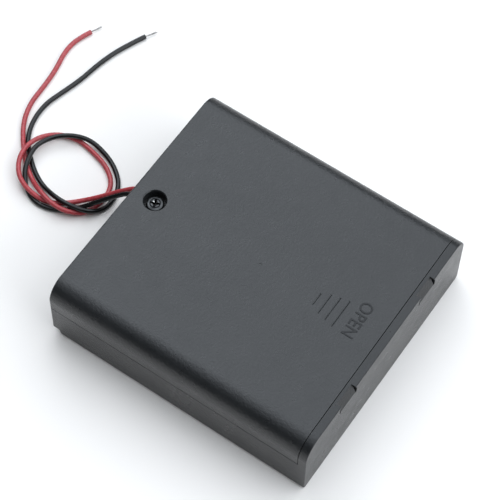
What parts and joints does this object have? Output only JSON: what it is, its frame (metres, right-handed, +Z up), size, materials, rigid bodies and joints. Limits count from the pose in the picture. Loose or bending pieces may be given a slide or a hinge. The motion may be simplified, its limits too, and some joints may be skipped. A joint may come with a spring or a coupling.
{
  "type": "cylindrical cell holder",
  "caption": "Flat box holder for cylindrical cells with a sliding cover, end-plate latches, a locking screw, sprung contacts, a slide switch and two hook-up leads.",
  "frame": {"origin": "centre of the case's footprint, on the surface it rests on", "axes": "+X towards the full-height end plate, +Y across the cells, +Z up through the cover; the leads leave at -X"},
  "size_m": [0.1137, 0.0813, 0.0192],
  "materials": {
    "tray_plastic": "fine matt moulded black ABS",
    "cover_plastic": "fine matt moulded black ABS",
    "screw_steel": "dark plated steel",
    "contact_plate": "bright nickel plate",
    "spring_wire": "bright nickel-plated wire",
    "switch_can": "plain tinned steel",
    "switch_board": "brown phenolic board",
    "knob_plastic": "matt black moulding",
    "red_insulation": "soft red PVC",
    "black_insulation": "soft black PVC",
    "tinned_copper": "tinned, slightly dull"
  },
  "bodies": {
    "case": {"case_tray": "tray_plastic", "contact_bridge_front_1": "contact_plate", "contact_bridge_front_2": "contact_plate", "contact_bridge_rear": "contact_plate", "contact_terminal_negative": "contact_plate", "contact_terminal_positive": "contact_plate", "spring_cell_1": "spring_wire", "spring_cell_2": "spring_wire", "spring_cell_3": "spring_wire", "spring_cell_4": "spring_wire", "switch_frame": "switch_can", "switch_base": "switch_board", "switch_terminal_1": "contact_plate", "switch_terminal_2": "contact_plate", "switch_terminal_3": "contact_plate", "jumper_wire": "red_insulation", "lead_red_inner": "red_insulation", "lead_black_inner": "black_insulation", "lead_red": "red_insulation", "lead_black": "black_insulation", "lead_red_tip": "tinned_copper", "lead_black_tip": "tinned_copper", "solder_joints": "tinned_copper"},
    "lid": {"cover": "cover_plastic"},
    "screw": {"cover_screw": "screw_steel"},
    "knob": {"switch_knob": "knob_plastic", "switch_wiper": "contact_plate"}
  },
  "joints": [
    {"name": "cover_slide", "type": "slide", "parent": "case", "child": "lid", "axis": [-1, 0, 0], "range_m": [0, 0.072]},
    {"name": "screw_lift", "type": "slide", "parent": "lid", "child": "screw", "axis": [0, 0, 1], "range_m": [0, 0.01]},
    {"name": "switch_slide", "type": "slide", "parent": "case", "child": "knob", "axis": [0, 1, 0], "range_m": [0, 0.002]}
  ]
}
